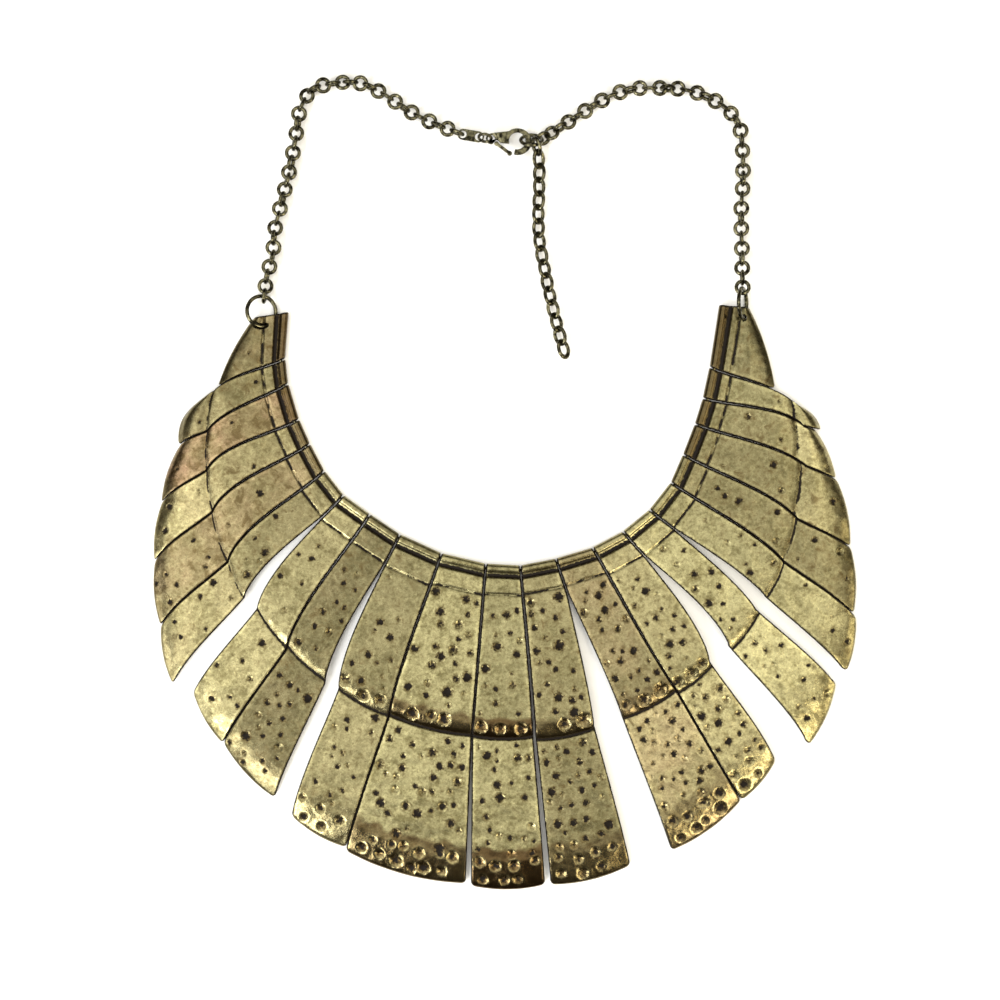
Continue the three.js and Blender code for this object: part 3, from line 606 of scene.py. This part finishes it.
def antiqueBrass():
    material, tree, shader = newMaterial("antique cast brass")
    colours = {name: linear(value) for name, value in plateLook.items()}
    place = addNode(tree, "ShaderNodeTexCoord", {}, "Object")
    grain = {}
    for row in plateGrains:
        sockets = {"Vector": place, "Scale": 1 / (row["size"] * mm), "Detail": row["detail"]}
        sockets.update({"Roughness": row["rough"], "Distortion": row["distortion"]})
        grain[row["name"]] = addNode(tree, "ShaderNodeTexNoise", sockets)
    worn = {}
    for name in ("pit", "patinaAndShade", "blotch", "brownReflectionMask", "pinkReflection", "paintedLight"):
        worn[name] = addNode(tree, "ShaderNodeAttribute", {}, "Fac", attribute_name=name)

    # black in the pits and the grooves (patina) and along the crease and the sides (painted shade), with a
    # ragged edge
    centred = addNode(tree, "ShaderNodeMath", {0: grain["specks"], 1: 0.5}, operation="SUBTRACT")
    ragged = addNode(tree, "ShaderNodeMath", {0: centred, 1: 1.5}, operation="MULTIPLY")
    inPit = addNode(tree, "ShaderNodeMath", {0: worn["pit"], 1: ragged}, operation="ADD")
    inGroove = addNode(tree, "ShaderNodeMath", {0: worn["patinaAndShade"], 1: ragged}, operation="ADD")
    core = addNode(tree, "ShaderNodeMapRange", {"Value": inPit, "From Min": 0.36, "From Max": 0.5})
    line = addNode(tree, "ShaderNodeMapRange", {"Value": inGroove, "From Min": 0.38, "From Max": 0.6})
    black = addNode(tree, "ShaderNodeMath", {0: core, 1: line}, operation="MAXIMUM")

    # a brown halo round the pits, and stains over the flats
    blotches = {0: worn["blotch"], 1: 0.26, 2: grain["stains"]}
    blotched = addNode(tree, "ShaderNodeMath", blotches, operation="MULTIPLY_ADD")
    staining = {"Value": blotched, "From Min": 0.63, "From Max": 0.78, "To Max": 0.8}
    stained = addNode(tree, "ShaderNodeMapRange", staining)
    rim = addNode(tree, "ShaderNodeMapRange", {"Value": inPit, "From Max": 0.4, "To Max": 0.75})
    halo = addNode(tree, "ShaderNodeMath", {0: rim, 1: stained}, operation="MAXIMUM")

    # bare metal between olive and brass, with a painted pink reflection in clouds
    mottled = addNode(tree, "ShaderNodeMath", {0: grain["stains"], 1: 0.45}, operation="MULTIPLY")
    for name, share in (("mottle", 0.35), ("clouds", 0.2)):
        mixed = {0: grain[name], 1: share, 2: mottled}
        mottled = addNode(tree, "ShaderNodeMath", mixed, operation="MULTIPLY_ADD")
    light = addNode(tree, "ShaderNodeMapRange", {"Value": mottled, "From Min": 0.42, "From Max": 0.54})
    patches = {"Value": grain["clouds"], "From Min": 0.4, "From Max": 0.6, "To Min": 0.3}
    patchy = addNode(tree, "ShaderNodeMapRange", patches)
    pinkReflected = addNode(tree, "ShaderNodeMath", {0: worn["pinkReflection"], 1: patchy}, operation="MULTIPLY", use_clamp=True)
    pinkReflectionShare = addNode(tree, "ShaderNodeMath", {0: pinkReflected, 1: 0.75}, operation="MULTIPLY")
    # painted brown reflection on the lip, the tip and the end beads
    brownReflecting = addNode(tree, "ShaderNodeMath", {0: worn["brownReflectionMask"], 1: 0.95}, operation="MULTIPLY")
    # painted light multiplied in: each plate's drawn brightness and its painted highlights
    paintedLightGrey = addNode(tree, "ShaderNodeCombineColor", {0: worn["paintedLight"], 1: worn["paintedLight"], 2: worn["paintedLight"]})
    bare = {0: light, 6: colours["olive"], 7: colours["brass"]}
    colour = addNode(tree, "ShaderNodeMix", bare, 2, data_type="RGBA")
    coats = [
        (pinkReflectionShare, colours["pinkReflectionColour"], "MIX"), (1.0, paintedLightGrey, "MULTIPLY"), (brownReflecting, colours["brownReflection"], "MIX"),
        (halo, colours["halo"], "MIX"), (black, colours["patinaAndShade"], "MIX"),
    ]
    for share, coat, kind in coats:
        sockets = {0: share, 6: colour, 7: coat}
        colour = addNode(tree, "ShaderNodeMix", sockets, 2, data_type="RGBA", blend_type=kind)
    tree.links.new(colour, shader.inputs["Base Color"])

    # patina and painted shade aren't metal, and are duller; the painted brown reflection is glossier
    metallic = addNode(tree, "ShaderNodeMapRange", {"Value": black, "To Min": 1.0, "To Max": 0.0})
    tree.links.new(metallic, shader.inputs["Metallic"])
    shader.inputs["Specular IOR Level"].default_value = 0.12
    dull = addNode(tree, "ShaderNodeMath", {0: grain["specks"], 1: 0.5, 2: black}, operation="MULTIPLY_ADD")
    dull = addNode(tree, "ShaderNodeMath", {0: worn["brownReflectionMask"], 1: -0.25, 2: dull}, operation="MULTIPLY_ADD")
    gloss = {"Value": dull, "From Max": 1.2, "To Min": 0.2, "To Max": 0.62}
    tree.links.new(addNode(tree, "ShaderNodeMapRange", gloss), shader.inputs["Roughness"])
    sunken = {0: black, 1: -0.5, 2: grain["casting"]}
    height = addNode(tree, "ShaderNodeMath", sunken, operation="MULTIPLY_ADD")
    bump = addNode(tree, "ShaderNodeBump", {"Strength": 0.6, "Distance": 0.1 * mm, "Height": height})
    tree.links.new(bump, shader.inputs["Normal"])
    return material


# Steel wire chain plated in dark antique brass: glossier than the plates, near black in random patches.
chainLook = {"metal": "67634c", "dark": "15130d", "wearSize": 1.1}


def antiqueWire():
    material, tree, shader = newMaterial("antique brass plated steel")
    place = addNode(tree, "ShaderNodeTexCoord", {}, "Object")
    grain = {"Vector": place, "Scale": 1 / (chainLook["wearSize"] * mm), "Detail": 5}
    wear = addNode(tree, "ShaderNodeTexNoise", grain)
    worn = addNode(tree, "ShaderNodeMapRange", {"Value": wear, "From Min": 0.38, "From Max": 0.62})
    plating = {0: worn, 6: linear(chainLook["dark"]), 7: linear(chainLook["metal"])}
    colour = addNode(tree, "ShaderNodeMix", plating, 2, data_type="RGBA")
    tree.links.new(colour, shader.inputs["Base Color"])
    shader.inputs["Metallic"].default_value = 1.0
    polish = {"Value": wear, "From Min": 0.3, "From Max": 0.7, "To Min": 0.34, "To Max": 0.15}
    tree.links.new(addNode(tree, "ShaderNodeMapRange", polish), shader.inputs["Roughness"])
    return material


plateBrass = antiqueBrass()
chainMetal = antiqueWire()
print("materials made")


# A body and a material for each finished piece; the CAD parts it stands for are hidden.
def settle(piece, material, nodes, body="necklace"):
    piece.data.materials.append(material)
    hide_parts(*nodes)
    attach(piece, body)


# Wire goods.
chainHeight = 2.55
rolo = {"radius": 1.7, "wire": 0.52, "pitch": 2.6, "slack": 2.08, "wobble": 14, "sides": 22, "around": 10}
curb = {"radius": 1.6, "wire": 0.5, "pitch": 3.55, "roll": 38, "stretch": 1.38, "sides": 24, "around": 10}
leftRoute = [
    [-65.0, 49.75], [-64.3, 55.5], [-62.8, 60.5], [-62.3, 67.0], [-60.4, 75.0],
    [-58.2, 83.8], [-56.5, 93.0], [-55.2, 100.5], [-52.0, 105.4], [-46.0, 107.2],
    [-39.2, 107.2], [-33.0, 104.4], [-26.4, 100.0], [-19.6, 96.5], [-13.0, 93.95],
]
rightRoute = [
    [10.35, 92.3], [13.4, 94.3], [18.9, 97.9], [24.0, 101.2], [29.4, 104.2], [35.9, 105.8], [42.0, 105.9],
    [48.9, 105.4], [55.3, 103.2], [60.2, 100.0], [63.3, 95.6], [64.1, 90.0], [64.3, 81.5], [63.8, 72.0],
    [64.0, 62.5, 2.6], [64.0, 57.0, 3.3], [64.0, 51.9, 4.3],
]
extenderRoute = [
    [8.5, 89.9, 4.5], [9.2, 86.0, 2.6], [9.2, 78.0], [9.0, 70.0], [9.4, 64.0], [10.6, 57.5], [12.0, 50.5],
    [13.8, 43.0], [15.8, 35.4],
]


# A smooth curve through the route's points, as a list of close points with the distance travelled to each.
def smoothRoute(route, perSpan=40):
    points = [Vector((p[0], p[1], p[2] if len(p) > 2 else chainHeight)) for p in route]
    points = [2 * points[0] - points[1]] + points + [2 * points[-1] - points[-2]]
    walk = []
    for p0, p1, p2, p3 in zip(points, points[1:], points[2:], points[3:]):
        d0, d1, d2 = (math.sqrt((b - a).length) for a, b in ((p0, p1), (p1, p2), (p2, p3)))
        m1 = ((p1 - p0) / d0 - (p2 - p0) / (d0 + d1) + (p2 - p1) / d1) * d1
        m2 = ((p2 - p1) / d1 - (p3 - p1) / (d1 + d2) + (p3 - p2) / d2) * d1
        for i in range(perSpan):
            t = i / perSpan
            square = 3 * (p2 - p1) - 2 * m1 - m2
            cube = 2 * (p1 - p2) + m1 + m2
            walk.append(p1 + m1 * t + square * t ** 2 + cube * t ** 3)
    walk.append(points[-2])
    travelled = [0.0]
    for a, b in zip(walk, walk[1:]):
        travelled.append(travelled[-1] + (b - a).length)
    return walk, travelled


def spotAlong(walk, travelled, share):
    target = share * travelled[-1]
    i = next((k for k in range(1, len(travelled)) if travelled[k] >= target), len(travelled) - 1)
    t = (target - travelled[i - 1]) / (travelled[i] - travelled[i - 1])
    return walk[i - 1].lerp(walk[i], t), (walk[i] - walk[i - 1]).normalized()


def ringMatrix(centre, along, roll, stretch=1.0):
    x = along.normalized()
    y = Vector((0, 0, 1)).cross(x).normalized()
    z = x.cross(y)
    turn = Matrix((x, y, z)).transposed().to_4x4()
    turn.translation = centre
    return turn @ Matrix.Rotation(math.radians(roll), 4, "X") @ Matrix.Diagonal((stretch, 1, 1, 1))


# One ring of round wire added to bm, in millimetres.
def addRing(bm, matrix, radius, wire, sides, around):
    upright = Matrix.Translation((radius, 0, 0)) @ Matrix.Rotation(math.pi / 2, 4, "X")
    already = len(bm.verts)
    start = bmesh.ops.create_circle(bm, segments=around, radius=wire, matrix=upright)["verts"]
    edges = list({edge for vert in start for edge in vert.link_edges})
    bmesh.ops.spin(bm, geom=start + edges, axis=(0, 0, 1), angle=2 * math.pi, steps=sides, use_merge=True)
    bm.verts.ensure_lookup_table()
    bmesh.ops.transform(bm, matrix=matrix, verts=bm.verts[already:])


def wirePiece(name, bm, sharpAngle=60):
    bmesh.ops.recalc_face_normals(bm, faces=bm.faces)
    bmesh.ops.scale(bm, vec=(mm, mm, mm), verts=bm.verts)
    mesh = bpy.data.meshes.new(name + "_mesh")
    bm.to_mesh(mesh)
    bm.free()
    return finishMesh(name, mesh, sharpAngle)


def linkPiece(name, route, shape, rolls, gaps):
    walk, travelled = smoothRoute(route)
    total = sum(gaps)
    bm = bmesh.new()
    gone = 0.0
    for i, roll in enumerate(rolls):
        centre, along = spotAlong(walk, travelled, gone / total)
        matrix = ringMatrix(centre, along, roll, shape.get("stretch", 1.0))
        addRing(bm, matrix, shape["radius"], shape["wire"], shape["sides"], shape["around"])
        gone += gaps[i] if i < len(gaps) else 0
    return wirePiece(name, bm)


def roloPiece(name, route, nodes, count, perSolid, lean):
    rolls = []
    for i in range(count):
        sway = rolo["wobble"] * math.sin(1.7 * i) * math.sin(math.pi * i / (count - 1))
        rolls.append((0 if i % 2 else 90) + sway + lean * 0.6 ** i)
    gaps = [rolo["pitch"] if (i + 1) % perSolid else rolo["slack"] for i in range(count - 1)]
    settle(linkPiece(name, route, rolo, rolls, gaps), chainMetal, nodes)


roloPiece("rolo_chain_left", leftRoute, [f"chain_left_{i}" for i in (1, 2, 3)], 39, 13, 0)
roloPiece("rolo_chain_right", rightRoute, [f"chain_right_{i}" for i in (1, 2, 3)], 40, 14, -45)
curbRolls = [61 if i == 0 else -curb["roll"] if i % 2 else curb["roll"] for i in range(16)]
extenderPiece = linkPiece("curb_extender", extenderRoute, curb, curbRolls, [curb["pitch"]] * 15)
settle(extenderPiece, chainMetal, ["extender"])
print("chains made")

# Plain rings: two jump rings, the swivel ring and the clasp's ring.
rings = table(
    ["name", "node", "centre", "along", "roll", "radius", "wire"],
    ["left_jump_ring", "jump_ring_left", (-65.8, 45.6, 2.75), (0, 1, 0), 25, 4.07, 0.54],
    ["right_jump_ring", "jump_ring_right", (64.0, 47.6, 4.4), (0, 1, 0), 69, 4.07, 0.54],
    ["clasp_swivel", "swivel_ring", (-5.4, 92.45, chainHeight), (3.4, -0.5, 0), 63, 1.7, 0.4],
    ["clasp_catch_ring", "clasp_ring", (7.15, 91.8, 2.8), (1, 0, 0), -53, 2.87, 0.5],
)


def ringPiece(name, ring, extra=0.0):
    bm = bmesh.new()
    turn = ringMatrix(Vector(ring["centre"]), Vector(ring["along"]), ring["roll"])
    addRing(bm, turn, ring["radius"], ring["wire"] + extra, 48, 14)
    return wirePiece(name, bm)


for ring in rings:
    settle(ringPiece(ring["name"], ring), chainMetal, [ring["node"]])


# Cast clasp pieces: the CAD shape merged, its edges rounded.
def roundedCopy(node, name, width, body="necklace"):
    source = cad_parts[node]
    bm = bmesh.new()
    bm.from_mesh(source.data)
    bm.transform(source.matrix_world)
    bmesh.ops.remove_doubles(bm, verts=bm.verts, dist=0.002 * mm)
    bmesh.ops.dissolve_limit(bm, angle_limit=math.radians(3), verts=bm.verts, edges=bm.edges)
    sharp = [edge for edge in bm.edges if edge.calc_face_angle(0) > math.radians(40)]
    bmesh.ops.bevel(bm, geom=sharp, offset=width * mm, segments=2, profile=0.5, affect="EDGES", material=-1)
    mesh = bpy.data.meshes.new(name + "_mesh")
    bm.to_mesh(mesh)
    bm.free()
    settle(finishMesh(name, mesh, 45), chainMetal, [node], body)


roundedCopy("clasp_body", "lobster_claw", 0.2)
roundedCopy("clasp_lever", "lobster_lever", 0.15, "clasp_lever")
roundedCopy("connector_tab", "clasp_tab", 0.12)
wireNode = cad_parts["stringing_wire"]
wireNode.data.materials.clear()
wireNode.data.materials.append(chainMetal)
print("clasp made")


# Cuts the hole a jump ring hangs in, a little wider than its wire.
def pierce(piece, ring):
    former = ringPiece("hole_former", ring, 0.3)
    cut = piece.modifiers.new("ring_hole", "BOOLEAN")
    cut.operation = "DIFFERENCE"
    cut.solver = "EXACT"
    cut.use_self = True
    cut.object = former
    bpy.context.view_layer.update()
    mesh = bpy.data.meshes.new_from_object(piece.evaluated_get(bpy.context.evaluated_depsgraph_get()))
    bm = bmesh.new()
    bm.from_mesh(mesh)
    bmesh.ops.remove_doubles(bm, verts=bm.verts, dist=0.004 * mm)
    bmesh.ops.dissolve_degenerate(bm, edges=bm.edges, dist=0.002 * mm)
    bmesh.ops.holes_fill(bm, edges=[edge for edge in bm.edges if edge.is_boundary])
    bm.to_mesh(mesh)
    bm.free()
    piece.modifiers.clear()
    piece.data = mesh
    bpy.data.objects.remove(former)


draw = random.Random(21)
hangers = {"plate_01_end": rings[0], "plate_21_end": rings[1]}
for index, plate in enumerate(plates):
    piece = makePlate(index, plate, plate["node"] in hangers, draw)
    if plate["node"] in hangers:
        pierce(piece, hangers[plate["node"]])
    settle(piece, plateBrass, [plate["node"]])
print("plates made")

# Floor, light and camera.
studio = {"floor": "fbfbf9", "world": "5c5348", "worldStrength": 0.75}
bpy.ops.mesh.primitive_plane_add(size=6, location=(0, 0, -0.0002))
floor = bpy.context.object
floor.name = "studio_floor"
floorPaint, _, floorShader = newMaterial("matt white board")
floorShader.inputs["Base Color"].default_value = linear(studio["floor"])
floorShader.inputs["Roughness"].default_value = 0.9
floor.data.materials.append(floorPaint)

world = bpy.data.worlds.new("studio")
bpy.context.scene.world = world
world.use_nodes = True
world.node_tree.nodes["Background"].inputs["Color"].default_value = linear(studio["world"])
world.node_tree.nodes["Background"].inputs["Strength"].default_value = studio["worldStrength"]

lamps = table(
    ["name", "place", "aim", "size", "watts", "colour"],
    ["overhead", (-0.1, 0.32, 0.95), (-0.1, 0.32, 0.0), (1.5, 1.4), 12.5, "fffdf6"],
    ["left_sky", (-0.42, -0.05, 0.85), (-0.08, 0.0, 0.0), (0.3, 0.6), 1.6, "ffffff"],
    ["left_front", (-0.44, -0.5, 0.6), (-0.05, -0.05, 0.0), (0.25, 0.25), 5.0, "ffffff"],
    ["right_front", (0.44, -0.5, 0.6), (0.05, -0.05, 0.0), (0.25, 0.25), 3.0, "fff4dd"],
    ["left_low", (-0.85, -0.3, 0.35), (0.0, 0.0, 0.0), (0.4, 0.3), 2.5, "ffffff"],
    ["right_sky", (0.5, 0.02, 0.85), (0.08, 0.02, 0.0), (0.3, 0.6), 1.3, "fff8e8"],
    ["right_low", (0.85, -0.2, 0.35), (0.0, 0.0, 0.0), (0.4, 0.3), 2.0, "fff2d6"],
)
for lamp in lamps:
    data = bpy.data.lights.new(lamp["name"], "AREA")
    data.shape = "RECTANGLE"
    data.size, data.size_y = lamp["size"]
    data.energy = lamp["watts"]
    data.color = linear(lamp["colour"])[:3]
    holder = bpy.data.objects.new(lamp["name"], data)
    holder.location = lamp["place"]
    holder.rotation_euler = (Vector(lamp["aim"]) - Vector(lamp["place"])).to_track_quat("-Z", "Y").to_euler()
    bpy.context.scene.collection.objects.link(holder)

cameraData = bpy.data.cameras.new("overhead_camera")
cameraData.lens = 80
cameraData.sensor_width = 36
camera = bpy.data.objects.new("overhead_camera", cameraData)
camera.location = (-0.00135, -0.0054, 0.603)
bpy.context.scene.collection.objects.link(camera)
bpy.context.scene.camera = camera
bpy.context.scene.view_settings.view_transform = "Standard"
print("studio made")
